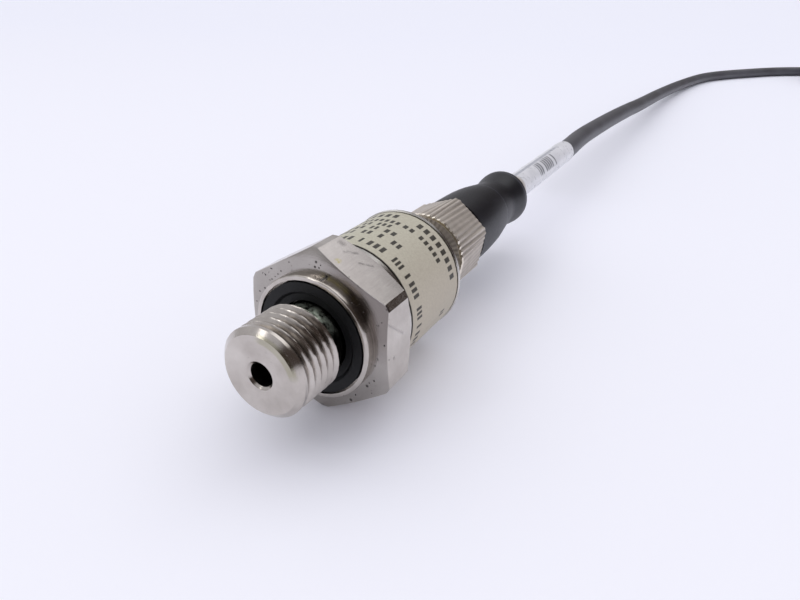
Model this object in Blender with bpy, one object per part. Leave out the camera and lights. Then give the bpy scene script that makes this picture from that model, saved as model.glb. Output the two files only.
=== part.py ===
"""Pressure sensor with a G 1/4 port, a round steel housing and a mated M12 cordset.

Everything turns about one axis that runs along +Y at AXIS_HEIGHT. The sensor lies on a corner of
its hexagon, the cable leaves at the back and comes down to the same surface.
Stations are distances from the flat front end of the thread, in metres.
"""

import math

import bmesh
import bpy
from mathutils import Vector
from mathutils.geometry import interpolate_bezier

# Clearances
SEAT_GAP = 0.0003
THREAD_CLEARANCE = 0.00045
CONTACT_CLEARANCE = 0.0002

# Process thread and pressure bore
THREAD_CORE_DIAMETER = 0.0115
THREAD_LENGTH = 0.0106
LEAD_IN_DIAMETER = 0.0131
LEAD_IN_LENGTH = 0.0013
LEAD_IN_CHAMFER = 0.0008
UNDERCUT_DIAMETER = 0.0108
UNDERCUT_LENGTH = 0.0018
BORE_DIAMETER = 0.0035
BORE_COUNTERSINK = 0.00035

# Collar with the profile seal
COLLAR_DIAMETER = 0.0189
COLLAR_LENGTH = 0.0017
COLLAR_LIP = 0.00065
COLLAR_ROUND = 0.0003
SEAL_RECESS_DEPTH = 0.0018
SEAL_STEP_WIDTH = 0.001
SEAL_STEP_DEPTH = 0.0004

# Hexagon
HEX_ACROSS_FLATS = 0.0228
HEX_CORNER_CUT = 0.00032
HEX_LENGTH = 0.0068
HEX_FRONT_CHAMFER_INSET = 0.0002
HEX_REAR_CHAMFER_INSET = 0.0004
HEX_FRONT_CHAMFER_ANGLE = math.radians(20)
HEX_REAR_CHAMFER_ANGLE = math.radians(30)

# Measuring cell and what clamps it
PORT_WEB = 0.0018
SPIGOT_LENGTH = 0.0045
SPIGOT_WALL = 0.0006
CELL_RING_THICKNESS = 0.0014
DIAPHRAGM_THICKNESS = 0.0006
CELL_THICKNESS = 0.0039
RETAINER_WALL = 0.0027
RETAINER_SLOT_WIDTH = 0.0016
RETAINER_SLOT_DEPTH = 0.0009
CELL_PIN_DIAMETER = 0.0007
CELL_PIN_CIRCLE = 0.0064

# Round housing and its film label
HOUSING_DIAMETER = 0.021
HOUSING_LENGTH = 0.0183
HOUSING_WALL = 0.00055
HOUSING_END_WALL = 0.0009
HOUSING_COLLAR_LENGTH = 0.0015
HOUSING_RIM_STEP = 0.0002
HOUSING_RIM_LENGTH = 0.0006
HOUSING_EDGE = 0.00015
LABEL_THICKNESS = 0.0002

# Electronics between the cell and the plug
HOLDER_LEDGE_LENGTH = 0.0028
HOLDER_LEDGE_WIDTH = 0.0013
HOLDER_WALL = 0.0009
BOARD_THICKNESS = 0.0012
SPACER_WALL = 0.001
SPACER_LENGTH = 0.0042
CHIP_SIDE = 0.005
CHIP_HEIGHT = 0.001
REGULATOR_LENGTH = 0.004
REGULATOR_WIDTH = 0.003
REGULATOR_HEIGHT = 0.0013
LINK_LENGTH = 0.005
LINK_WIDTH = 0.002
LINK_INSET = 0.00215

# Plug on the sensor
PLUG_FLANGE_LENGTH = 0.0008
PLUG_RING_THICKNESS = 0.0009
PLUG_RING_DIAMETER = 0.0152
PLUG_CORE_DIAMETER = 0.0109
PLUG_BORE_DIAMETER = 0.0094
PLUG_REACH = 0.0133
PLUG_EDGE = 0.0004
PIN_CARRIER_FACE = 0.006
PIN_DIAMETER = 0.001
PIN_CIRCLE = 0.005
PIN_TIP_ROUND = 0.0003
KEY_WIDTH = 0.0009
KEY_HEIGHT = 0.0006
KEY_SETBACK = 0.0004
CONTACT_NUMBERS = (1, 2, 3, 4)

# Socket insert of the cordset
SOCKET_NOSE_CLEARANCE = 0.0006
SOCKET_FACE_GAP = 0.0004
SOCKET_FLANGE_DIAMETER = 0.0121
SOCKET_FLANGE_LENGTH = 0.0012
SOCKET_SHANK_DIAMETER = 0.0084
SOCKET_SHANK_LENGTH = 0.0057
SOCKET_RECESS = 0.0005
SOCKET_WALL = 0.00025
SOCKET_CONTACT_LENGTH = 0.0108
SOCKET_BORE_DEPTH = 0.0063
FACE_SEAL_THICKNESS = 0.001

# Coupling nut
NUT_ACROSS_FLATS = 0.0142
NUT_CORNER_DIAMETER = 0.0162
NUT_FRONT_ACROSS_FLATS = 0.0154
NUT_FRONT_CORNER_DIAMETER = 0.0157
NUT_STAND_OFF = 0.0075
NUT_SHOULDER_LENGTH = 0.0024
NUT_RIBS = 48
NUT_RIB_DEPTH = 0.0003
NUT_FLAT_RIB_DEPTH = 0.00004
NUT_CHAMFER = 0.0004
NUT_ROLL = math.radians(11)

# Moulded grip
GRIP_NECK_WALL = 0.0005
GRIP_DOME_DIAMETER = 0.0142
GRIP_DOME_LENGTH = 0.0155
GRIP_STEP = 0.00012
GRIP_SHOULDER_DIAMETER = 0.0123
GRIP_WAIST_DIAMETER = 0.0105
GRIP_WAIST_LENGTH = 0.0062
GRIP_RIM_DIAMETER = 0.0122
GRIP_FLARE_LENGTH = 0.0053
GRIP_RIM_LENGTH = 0.0009
GRIP_RIM_ROUND = 0.0005

# Cable and its wrap-around label
CABLE_DIAMETER = 0.0052
CABLE_POINT_SPACING = 2.5
CABLE_LABEL_SETBACK = 0.0065
CABLE_LABEL_LENGTH = 0.048
CABLE_LABEL_THICKNESS = 0.0002
CABLE_LABEL_CLEARANCE = 0.0002

# Coil of the spare cable, its free end and its four cores
COIL_CENTRE = (0.1124, 0.4666)
COIL_ENTRY_ANGLE = math.radians(106)
COIL_LAYERS = 2
COIL_COLUMNS = 4
COIL_MIDDLE_DIAMETERS = 11
TAIL_ANGLES = (50, 20, -10, -35, -47)
TAIL_INSETS = (0.0, 0.1, 0.6, 1.3, 1.8)
CORE_DIAMETER = 0.0013
CORE_LENGTH = 0.026
CORE_PITCH = 0.0016
CORE_SPREAD = 0.0022

# Stations along the sensor, each from the one before it
COLLAR_FRONT = THREAD_LENGTH
HEX_FRONT = COLLAR_FRONT + COLLAR_LENGTH
HEX_REAR = HEX_FRONT + HEX_LENGTH
CHAMBER_FLOOR = COLLAR_FRONT + SEAL_RECESS_DEPTH + PORT_WEB
SPIGOT_END = HEX_REAR + SPIGOT_LENGTH
CELL_RING_FRONT = CHAMBER_FLOOR + SEAT_GAP
DIAPHRAGM_FRONT = CELL_RING_FRONT + CELL_RING_THICKNESS + SEAT_GAP
CELL_FRONT = DIAPHRAGM_FRONT + DIAPHRAGM_THICKNESS + SEAT_GAP
RETAINER_FRONT = CELL_FRONT + CELL_THICKNESS + SEAT_GAP
RETAINER_REAR = SPIGOT_END - SEAT_GAP
HOUSING_FRONT = HEX_REAR + SEAT_GAP
HOUSING_REAR = HOUSING_FRONT + HOUSING_LENGTH
HOUSING_RIM_FRONT = HOUSING_REAR - HOUSING_RIM_LENGTH
HOLDER_FRONT = SPIGOT_END + SEAT_GAP
CELL_BOARD_FRONT = HOLDER_FRONT + HOLDER_LEDGE_LENGTH + SEAT_GAP
SPACER_FRONT = CELL_BOARD_FRONT + BOARD_THICKNESS + SEAT_GAP
PLUG_BOARD_FRONT = SPACER_FRONT + SPACER_LENGTH + SEAT_GAP
HOLDER_REAR = PLUG_BOARD_FRONT + BOARD_THICKNESS
PLUG_FRONT = HOLDER_REAR + SEAT_GAP
PLUG_FLANGE_REAR = PLUG_FRONT + PLUG_FLANGE_LENGTH
PLUG_END = HOUSING_REAR + PLUG_REACH
PIN_CARRIER_REAR = PLUG_END - PIN_CARRIER_FACE

# Stations along the cordset
SOCKET_FACE = PIN_CARRIER_REAR + SOCKET_FACE_GAP
FACE_SEAL_FRONT = PLUG_END + SEAT_GAP
SOCKET_FLANGE_FRONT = FACE_SEAL_FRONT + FACE_SEAL_THICKNESS + SEAT_GAP
SOCKET_FLANGE_REAR = SOCKET_FLANGE_FRONT + SOCKET_FLANGE_LENGTH
SOCKET_REAR = SOCKET_FLANGE_REAR + SOCKET_SHANK_LENGTH
NUT_FRONT = HOUSING_REAR + NUT_STAND_OFF
NUT_SHOULDER_FRONT = SOCKET_FLANGE_REAR + SEAT_GAP
NUT_REAR = NUT_SHOULDER_FRONT + NUT_SHOULDER_LENGTH
GRIP_FRONT = NUT_REAR + SEAT_GAP
GRIP_SHOULDER = GRIP_FRONT + GRIP_DOME_LENGTH
GRIP_WAIST = GRIP_SHOULDER + GRIP_WAIST_LENGTH
GRIP_RIM = GRIP_WAIST + GRIP_FLARE_LENGTH
GRIP_REAR = GRIP_RIM + GRIP_RIM_LENGTH + GRIP_RIM_ROUND
CABLE_START = GRIP_REAR + SEAT_GAP
CABLE_LABEL_FRONT = GRIP_REAR + CABLE_LABEL_SETBACK

# Radii that fit one inside another
HEX_FLAT_RADIUS = HEX_ACROSS_FLATS / 2
HEX_CORNER_RADIUS = HEX_ACROSS_FLATS / math.sqrt(3) - HEX_CORNER_CUT
HOUSING_RADIUS = HOUSING_DIAMETER / 2
LABEL_INNER_RADIUS = HOUSING_RADIUS - LABEL_THICKNESS
LABEL_SEAT_RADIUS = LABEL_INNER_RADIUS - SEAT_GAP
HOUSING_BORE_RADIUS = LABEL_SEAT_RADIUS - HOUSING_WALL
SPIGOT_RADIUS = HOUSING_BORE_RADIUS - SEAT_GAP
CHAMBER_RADIUS = SPIGOT_RADIUS - SPIGOT_WALL
CELL_RADIUS = CHAMBER_RADIUS - SEAT_GAP
HOLDER_BORE_RADIUS = SPIGOT_RADIUS - HOLDER_WALL
BOARD_RADIUS = HOLDER_BORE_RADIUS - SEAT_GAP
COLLAR_RADIUS = COLLAR_DIAMETER / 2
SEAL_RECESS_RADIUS = COLLAR_RADIUS - COLLAR_LIP
PLUG_CORE_RADIUS = PLUG_CORE_DIAMETER / 2
PLUG_BORE_RADIUS = PLUG_BORE_DIAMETER / 2
PIN_CARRIER_RADIUS = PLUG_BORE_RADIUS - SEAT_GAP
PIN_RADIUS = PIN_DIAMETER / 2
SOCKET_NOSE_RADIUS = PLUG_BORE_RADIUS - SOCKET_NOSE_CLEARANCE
KEY_TOP = PIN_CARRIER_RADIUS - CONTACT_CLEARANCE
KEY_FOOT = SOCKET_NOSE_RADIUS - KEY_HEIGHT
SOCKET_BORE_RADIUS = PIN_RADIUS + CONTACT_CLEARANCE
SOCKET_OUTER_RADIUS = SOCKET_BORE_RADIUS + SOCKET_WALL
CONTACT_HOLE_RADIUS = SOCKET_OUTER_RADIUS + SEAT_GAP
SOCKET_FLANGE_RADIUS = SOCKET_FLANGE_DIAMETER / 2
SOCKET_SHANK_RADIUS = SOCKET_SHANK_DIAMETER / 2
NUT_BORE_RADIUS = PLUG_CORE_RADIUS + THREAD_CLEARANCE
NUT_RELIEF_RADIUS = max(NUT_BORE_RADIUS, SOCKET_FLANGE_RADIUS + SEAT_GAP)
GRIP_CAVITY_RADIUS = SOCKET_SHANK_RADIUS + SEAT_GAP
GRIP_NECK_RADIUS = GRIP_CAVITY_RADIUS + GRIP_NECK_WALL
NUT_SHOULDER_RADIUS = GRIP_NECK_RADIUS + SEAT_GAP
CABLE_RADIUS = CABLE_DIAMETER / 2
CABLE_LABEL_INNER_RADIUS = CABLE_RADIUS + CABLE_LABEL_CLEARANCE

# The origin is on the surface, halfway between the thread's front end and the grip's back
AXIS_HEIGHT = HEX_CORNER_RADIUS
FRONT_Y = -GRIP_REAR / 2
COIL_HALF_HEIGHT = COIL_LAYERS * CABLE_DIAMETER / 2
COIL_HALF_WIDTH = COIL_COLUMNS * CABLE_DIAMETER / 2
COIL_MIDDLE_RADIUS = COIL_MIDDLE_DIAMETERS * CABLE_DIAMETER / 2
COIL_OUTER_RADIUS = COIL_MIDDLE_RADIUS + COIL_HALF_WIDTH


def clear_scene():
    """Remove whatever objects the open file holds."""
    for item in list(bpy.data.objects):
        bpy.data.objects.remove(item, do_unlink=True)


def make_material(name, colour, roughness, metallic=0.0):
    """Return a Principled material of one colour."""
    material = bpy.data.materials.new(name)
    material.use_nodes = True
    shader = material.node_tree.nodes["Principled BSDF"]
    shader.inputs["Base Color"].default_value = (*colour, 1.0)
    shader.inputs["Roughness"].default_value = roughness
    shader.inputs["Metallic"].default_value = metallic
    return material


def make_axis_empty(name, parent=None):
    """Return an empty on the sensor's axis, at the thread's front end."""
    empty = bpy.data.objects.new(name, None)
    bpy.context.scene.collection.objects.link(empty)
    empty.parent = parent
    if parent is None:
        empty.location = (0.0, FRONT_Y, AXIS_HEIGHT)
    return empty


def add_object(name, data, material, parent):
    """Link an object of this data, with one material, under its body's empty."""
    data.materials.append(material)
    item = bpy.data.objects.new(name, data)
    bpy.context.scene.collection.objects.link(item)
    item.parent = parent
    return item


def finish_mesh(shape, name):
    """Turn a bmesh into a closed, smooth-shaded mesh with sharp corners kept."""
    bmesh.ops.remove_doubles(shape, verts=shape.verts, dist=1e-6)
    bmesh.ops.recalc_face_normals(shape, faces=shape.faces)
    mesh = bpy.data.meshes.new(name)
    shape.to_mesh(mesh)
    shape.free()
    mesh.shade_smooth()
    mesh.set_sharp_from_angle(angle=math.radians(28))
    return mesh


def arc(station, radius, size, start, end, steps=3):
    """Points of a round in an outline; 0 degrees points along the axis, 90 outwards."""
    points = []
    for index in range(steps + 1):
        turn = math.radians(start + (end - start) * index / steps)
        points.append((station + size * math.cos(turn), radius + size * math.sin(turn)))
    return points


def turn_outline(shape, outline, sides, centre=(0.0, 0.0)):
    """Spin an outline of (station, radius) about +Y through centre, given as (x, z)."""
    closed = outline[0][1] > 0.0 or outline[-1][1] > 0.0
    verts = [shape.verts.new((centre[0], y, centre[1] + r)) for y, r in outline]
    edges = [shape.edges.new(pair) for pair in zip(verts, verts[1:])]
    if closed:
        edges.append(shape.edges.new((verts[-1], verts[0])))
    bmesh.ops.spin(
        shape,
        geom=verts + edges,
        cent=(centre[0], 0.0, centre[1]),
        axis=(0.0, 1.0, 0.0),
        angle=math.tau,
        steps=sides,
        use_merge=True,
    )


def turned_mesh(name, outline, sides, centres=((0.0, 0.0),)):
    """One mesh with the outline turned about each of the centres."""
    shape = bmesh.new()
    for centre in centres:
        turn_outline(shape, outline, sides, centre)
    return finish_mesh(shape, name)


def add_turned(name, outline, material, parent, sides=40, centre=(0.0, 0.0)):
    """Add one turned piece."""
    return add_object(name, turned_mesh(name, outline, sides, (centre,)), material, parent)


def ring_outline(front, rear, inner, outer):
    """Outline of a plain ring."""
    return [(front, inner), (front, outer), (rear, outer), (rear, inner)]


def disc_outline(front, rear, radius):
    """Outline of a plain disc."""
    return [(front, 0.0), (front, radius), (rear, radius), (rear, 0.0)]


def add_round_ring(name, front, thickness, radius, material, parent):
    """Add a seal ring of round section, standing on its front station."""
    half = thickness / 2
    outline = arc(front + half, radius, half, 0, 360, 6)[:-1]
    return add_turned(name, outline, material, parent, sides=24)


def add_lofted(name, sections, angles, material, parent):
    """Skin closed sections; each is a function from an angle to (station, radius)."""
    shape = bmesh.new()
    rows = []
    for section in sections:
        row = []
        for angle in angles:
            station, radius = section(angle)
            row.append(shape.verts.new((radius * math.sin(angle), station, radius * math.cos(angle))))
        rows.append(row)
    for row, following in zip(rows, rows[1:] + rows[:1]):
        for index in range(len(row)):
            near = (index + 1) % len(row)
            shape.faces.new((row[index], row[near], following[near], following[index]))
    return add_object(name, finish_mesh(shape, name), material, parent)


def circle(station, radius):
    """A round section at one station."""
    return lambda angle: (station, radius)


def add_block(name, size, centre, material, parent):
    """Add a box from its size and the place of its middle."""
    shape = bmesh.new()
    bmesh.ops.create_cube(shape, size=1.0)
    bmesh.ops.scale(shape, vec=size, verts=shape.verts)
    bmesh.ops.translate(shape, vec=centre, verts=shape.verts)
    return add_object(name, finish_mesh(shape, name), material, parent)


def boolean(target, tool, operation):
    """Cut or fuse target with tool, which is kept as a hidden guide."""
    tool.hide_render = True
    tool.display_type = "WIRE"
    modifier = target.modifiers.new(tool.name, "BOOLEAN")
    modifier.operation = operation
    modifier.solver = "EXACT"
    modifier.object = tool


def contact_centres():
    """Places of the four contacts across the axis, at the corners of a square."""
    centres = []
    for number in CONTACT_NUMBERS:
        angle = math.radians(45 + 90 * (number - 1))
        centres.append((PIN_CIRCLE / 2 * math.sin(angle), PIN_CIRCLE / 2 * math.cos(angle)))
    return centres


def hexagon_radius(angle, flat_radius, corner_radius):
    """Distance from the axis to a hexagon with turned corners, one corner at angle 0."""
    sector = math.pi / 3
    from_flat = (angle % sector) - sector / 2
    return min(flat_radius / math.cos(from_flat), corner_radius)


def hexagon_angles(flat_radius, corner_radius, steps=6):
    """Angles with columns on every corner's middle and on both ends of every flat."""
    sector = math.pi / 3
    reach = math.acos(flat_radius / corner_radius)
    angles = []
    for corner in range(6):
        middle = corner * sector + sector / 2
        angles.append(corner * sector)
        angles.extend(middle + reach * (2 * step / steps - 1) for step in range(steps + 1))
    return angles


def add_pressure_port(material, parent):
    """Thread, collar with its seal recess, hexagon and spigot, turned from one bar."""
    front_chamfer = HEX_FLAT_RADIUS - HEX_FRONT_CHAMFER_INSET
    rear_chamfer = HEX_FLAT_RADIUS - HEX_REAR_CHAMFER_INSET
    bore = BORE_DIAMETER / 2
    core = THREAD_CORE_DIAMETER / 2
    lead_in = LEAD_IN_DIAMETER / 2
    undercut = UNDERCUT_DIAMETER / 2
    recess_floor = COLLAR_FRONT + SEAL_RECESS_DEPTH

    def hexagon(angle):
        return hexagon_radius(angle, HEX_FLAT_RADIUS, HEX_CORNER_RADIUS)

    def hexagon_front(angle):
        rise = hexagon(angle) - front_chamfer
        return HEX_FRONT + rise * math.tan(HEX_FRONT_CHAMFER_ANGLE), hexagon(angle)

    def hexagon_rear(angle):
        rise = hexagon(angle) - rear_chamfer
        return HEX_REAR - rise * math.tan(HEX_REAR_CHAMFER_ANGLE), hexagon(angle)

    thread = [(0.0, bore + BORE_COUNTERSINK), (0.0, lead_in - LEAD_IN_CHAMFER)]
    thread += [(LEAD_IN_CHAMFER, lead_in)]
    thread += [(LEAD_IN_LENGTH, lead_in), (LEAD_IN_LENGTH + lead_in - core, core)]
    thread += [(COLLAR_FRONT - UNDERCUT_LENGTH, core)]
    thread += [(COLLAR_FRONT - UNDERCUT_LENGTH + core - undercut, undercut)]
    collar = [(recess_floor, undercut), (recess_floor, SEAL_RECESS_RADIUS)]
    collar += [(COLLAR_FRONT, SEAL_RECESS_RADIUS)]
    collar += arc(COLLAR_FRONT + COLLAR_ROUND, COLLAR_RADIUS - COLLAR_ROUND, COLLAR_ROUND, 180, 90)
    collar += [(HEX_FRONT, COLLAR_RADIUS), (HEX_FRONT, front_chamfer)]
    inside = [(HEX_REAR, rear_chamfer), (HEX_REAR, SPIGOT_RADIUS), (SPIGOT_END, SPIGOT_RADIUS)]
    inside += [(SPIGOT_END, CHAMBER_RADIUS), (CHAMBER_FLOOR, CHAMBER_RADIUS)]
    inside += [(CHAMBER_FLOOR, bore), (BORE_COUNTERSINK, bore)]
    sections = [circle(*point) for point in thread + collar]
    sections += [hexagon_front, hexagon_rear]
    sections += [circle(*point) for point in inside]
    angles = hexagon_angles(HEX_FLAT_RADIUS, HEX_CORNER_RADIUS)
    return add_lofted("pressure_port", sections, angles, material, parent)


def add_port_seal(material, parent):
    """Profile ring that fills the collar's recess, thinner at its inner lip."""
    inner = UNDERCUT_DIAMETER / 2 + SEAT_GAP
    outer = SEAL_RECESS_RADIUS - SEAT_GAP
    floor = COLLAR_FRONT + SEAL_RECESS_DEPTH - SEAT_GAP
    step = inner + SEAL_STEP_WIDTH
    outline = [(floor, inner), (COLLAR_FRONT + SEAL_STEP_DEPTH, inner)]
    outline += [(COLLAR_FRONT + SEAL_STEP_DEPTH, step), (COLLAR_FRONT, step + SEAL_STEP_DEPTH)]
    outline += [(COLLAR_FRONT, outer), (floor, outer)]
    return add_turned("port_seal", outline, material, parent)


def add_measuring_cell(steel, rubber, ceramic, gold, parent):
    """Ceramic cell with its diaphragm, front ring, clamping ring and header pins."""
    ring_radius = CELL_RADIUS - CELL_RING_THICKNESS / 2
    add_round_ring("cell_ring", CELL_RING_FRONT, CELL_RING_THICKNESS, ring_radius, rubber, parent)
    diaphragm = disc_outline(DIAPHRAGM_FRONT, DIAPHRAGM_FRONT + DIAPHRAGM_THICKNESS, CELL_RADIUS)
    add_turned("diaphragm", diaphragm, ceramic, parent)
    cell = disc_outline(CELL_FRONT, CELL_FRONT + CELL_THICKNESS, CELL_RADIUS)
    add_turned("ceramic_cell", cell, ceramic, parent)
    retainer_bore = CELL_RADIUS - RETAINER_WALL
    outline = ring_outline(RETAINER_FRONT, RETAINER_REAR, retainer_bore, CELL_RADIUS)
    retainer = add_turned("cell_retainer", outline, steel, parent)
    for name, width, height in (("slot_across", 4, 0), ("slot_upright", 0, 4)):
        size = (
            width * CELL_RADIUS + RETAINER_SLOT_WIDTH,
            2 * RETAINER_SLOT_DEPTH,
            height * CELL_RADIUS + RETAINER_SLOT_WIDTH,
        )
        slot = add_block(name, size, (0.0, RETAINER_REAR, 0.0), steel, parent)
        boolean(retainer, slot, "DIFFERENCE")
    pin = disc_outline(RETAINER_FRONT, CELL_BOARD_FRONT - SEAT_GAP, CELL_PIN_DIAMETER / 2)
    for number in CONTACT_NUMBERS:
        angle = math.radians(90 * number)
        centre = (CELL_PIN_CIRCLE / 2 * math.sin(angle), CELL_PIN_CIRCLE / 2 * math.cos(angle))
        add_turned(f"cell_pin_{number}", pin, gold, parent, sides=8, centre=centre)


def add_housing(steel, film, parent):
    """Round steel tube with a seat for the film label, a rear rim and a holed end wall."""
    opening = PLUG_CORE_RADIUS + 2 * SEAT_GAP
    rim = HOUSING_RADIUS + HOUSING_RIM_STEP
    seat_front = HOUSING_FRONT + HOUSING_COLLAR_LENGTH
    outline = [(HOUSING_FRONT, HOUSING_BORE_RADIUS)]
    outline += [(HOUSING_FRONT, HOUSING_RADIUS - HOUSING_EDGE)]
    outline += [(HOUSING_FRONT + HOUSING_EDGE, HOUSING_RADIUS), (seat_front, HOUSING_RADIUS)]
    outline += [(seat_front, LABEL_SEAT_RADIUS), (HOUSING_RIM_FRONT, LABEL_SEAT_RADIUS)]
    outline += [(HOUSING_RIM_FRONT, rim - HOUSING_EDGE), (HOUSING_RIM_FRONT + HOUSING_EDGE, rim)]
    outline += [(HOUSING_REAR - HOUSING_EDGE, rim), (HOUSING_REAR, rim - HOUSING_EDGE)]
    outline += [(HOUSING_REAR, opening), (HOUSING_REAR - HOUSING_END_WALL, opening)]
    outline += [(HOUSING_REAR - HOUSING_END_WALL, HOUSING_BORE_RADIUS)]
    add_turned("housing_tube", outline, steel, parent, sides=48)
    label = ring_outline(
        seat_front + SEAT_GAP,
        HOUSING_RIM_FRONT - SEAT_GAP,
        LABEL_INNER_RADIUS,
        HOUSING_RADIUS,
    )
    add_turned("type_label", label, film, parent, sides=48)


def add_electronics(plastic, board, dark, parent):
    """Holder sleeve with two round boards, the spacer between them and their parts."""
    ledge = HOLDER_BORE_RADIUS - HOLDER_LEDGE_WIDTH
    ledge_end = HOLDER_FRONT + HOLDER_LEDGE_LENGTH
    holder = [(HOLDER_FRONT, ledge), (HOLDER_FRONT, SPIGOT_RADIUS), (HOLDER_REAR, SPIGOT_RADIUS)]
    holder += [(HOLDER_REAR, HOLDER_BORE_RADIUS), (ledge_end, HOLDER_BORE_RADIUS)]
    holder += [(ledge_end, ledge)]
    add_turned("board_holder", holder, plastic, parent, sides=36)
    for name, front in (("cell_board", CELL_BOARD_FRONT), ("plug_board", PLUG_BOARD_FRONT)):
        outline = disc_outline(front, front + BOARD_THICKNESS, BOARD_RADIUS)
        add_turned(name, outline, board, parent, sides=36)
    spacer_rear = SPACER_FRONT + SPACER_LENGTH
    spacer_bore = BOARD_RADIUS - SPACER_WALL
    spacer = ring_outline(SPACER_FRONT, spacer_rear, spacer_bore, BOARD_RADIUS)
    add_turned("board_spacer", spacer, plastic, parent, sides=36)
    chip_middle = (0.0, SPACER_FRONT + CHIP_HEIGHT / 2, 0.0)
    add_block("signal_chip", (CHIP_SIDE, CHIP_HEIGHT, CHIP_SIDE), chip_middle, dark, parent)
    regulator_size = (REGULATOR_LENGTH, REGULATOR_HEIGHT, REGULATOR_WIDTH)
    regulator_middle = (0.0, spacer_rear - REGULATOR_HEIGHT / 2, 0.0)
    add_block("supply_regulator", regulator_size, regulator_middle, dark, parent)
    link_size = (LINK_WIDTH, SPACER_LENGTH, LINK_LENGTH)
    link_middle = (spacer_bore - LINK_INSET, (SPACER_FRONT + spacer_rear) / 2, 0.0)
    add_block("board_link", link_size, link_middle, dark, parent)


def add_plug(nickel, rubber, plastic, gold, parent):
    """Flanged M12 shell, its sealing ring, the keyed pin carrier and four pins."""
    shell = [(PLUG_FRONT, PLUG_BORE_RADIUS), (PLUG_FRONT, SPIGOT_RADIUS)]
    shell += [(PLUG_FLANGE_REAR, SPIGOT_RADIUS), (PLUG_FLANGE_REAR, PLUG_CORE_RADIUS)]
    shell += [(PLUG_END - PLUG_EDGE, PLUG_CORE_RADIUS)]
    shell += [(PLUG_END, PLUG_CORE_RADIUS - PLUG_EDGE), (PLUG_END, PLUG_BORE_RADIUS)]
    add_turned("plug_shell", shell, nickel, parent)
    ring_front = PLUG_FLANGE_REAR + SEAT_GAP
    add_round_ring(
        "plug_ring", ring_front, PLUG_RING_THICKNESS, PLUG_RING_DIAMETER / 2, rubber, parent
    )
    body = disc_outline(PLUG_FRONT, PIN_CARRIER_REAR, PIN_CARRIER_RADIUS)
    carrier = add_turned("pin_carrier", body, plastic, parent)
    key_front = PIN_CARRIER_REAR - KEY_HEIGHT
    key_rear = PLUG_END - KEY_SETBACK
    key_size = (KEY_WIDTH, key_rear - key_front, KEY_TOP - KEY_FOOT)
    key_middle = (0.0, (key_front + key_rear) / 2, (KEY_TOP + KEY_FOOT) / 2)
    boolean(carrier, add_block("key", key_size, key_middle, plastic, parent), "UNION")
    drill = disc_outline(PLUG_FRONT - SEAT_GAP, PLUG_END, PIN_RADIUS + SEAT_GAP)
    drill_mesh = turned_mesh("pin_drill", drill, 10, contact_centres())
    boolean(carrier, add_object("pin_drill", drill_mesh, plastic, parent), "DIFFERENCE")
    pin = [(PLUG_FRONT, 0.0), (PLUG_FRONT, PIN_RADIUS)]
    pin += arc(PLUG_END - PIN_TIP_ROUND, PIN_RADIUS - PIN_TIP_ROUND, PIN_TIP_ROUND, 90, 0, 2)
    pin += [(PLUG_END, 0.0)]
    for number, centre in zip(CONTACT_NUMBERS, contact_centres()):
        add_turned(f"contact_pin_{number}", pin, gold, parent, sides=10, centre=centre)


def add_socket(plastic, rubber, gold, parent):
    """Socket insert with its flange, key groove, face seal and four socket contacts."""
    body = [(SOCKET_FACE, 0.0), (SOCKET_FACE, SOCKET_NOSE_RADIUS)]
    body += [(SOCKET_FLANGE_FRONT, SOCKET_NOSE_RADIUS)]
    body += [(SOCKET_FLANGE_FRONT, SOCKET_FLANGE_RADIUS)]
    body += [(SOCKET_FLANGE_REAR, SOCKET_FLANGE_RADIUS)]
    body += [(SOCKET_FLANGE_REAR, SOCKET_SHANK_RADIUS)]
    body += [(SOCKET_REAR, SOCKET_SHANK_RADIUS), (SOCKET_REAR, 0.0)]
    carrier = add_turned("socket_carrier", body, plastic, parent)
    groove_front = SOCKET_FACE - SEAT_GAP
    groove_floor = KEY_FOOT - SEAT_GAP
    groove_size = (
        KEY_WIDTH + 2 * SEAT_GAP,
        FACE_SEAL_FRONT - groove_front,
        PLUG_BORE_RADIUS - groove_floor,
    )
    groove_middle = (
        0.0,
        (FACE_SEAL_FRONT + groove_front) / 2,
        (PLUG_BORE_RADIUS + groove_floor) / 2,
    )
    groove = add_block("key_groove", groove_size, groove_middle, plastic, parent)
    boolean(carrier, groove, "DIFFERENCE")
    drill = disc_outline(SOCKET_FACE - SEAT_GAP, SOCKET_REAR + SEAT_GAP, CONTACT_HOLE_RADIUS)
    drill_mesh = turned_mesh("socket_drill", drill, 10, contact_centres())
    boolean(carrier, add_object("socket_drill", drill_mesh, plastic, parent), "DIFFERENCE")
    front = SOCKET_FACE + SOCKET_RECESS
    contact = [(front + SOCKET_BORE_DEPTH, 0.0), (front + SOCKET_BORE_DEPTH, SOCKET_BORE_RADIUS)]
    contact += [(front, SOCKET_BORE_RADIUS), (front, SOCKET_OUTER_RADIUS)]
    contact += [(front + SOCKET_CONTACT_LENGTH, SOCKET_OUTER_RADIUS)]
    contact += [(front + SOCKET_CONTACT_LENGTH, 0.0)]
    for number, centre in zip(CONTACT_NUMBERS, contact_centres()):
        add_turned(f"socket_contact_{number}", contact, gold, parent, sides=10, centre=centre)
    seal_radius = SOCKET_NOSE_RADIUS + SEAT_GAP + FACE_SEAL_THICKNESS / 2
    add_round_ring(
        "face_seal", FACE_SEAL_FRONT, FACE_SEAL_THICKNESS, seal_radius, rubber, parent
    )


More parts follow.
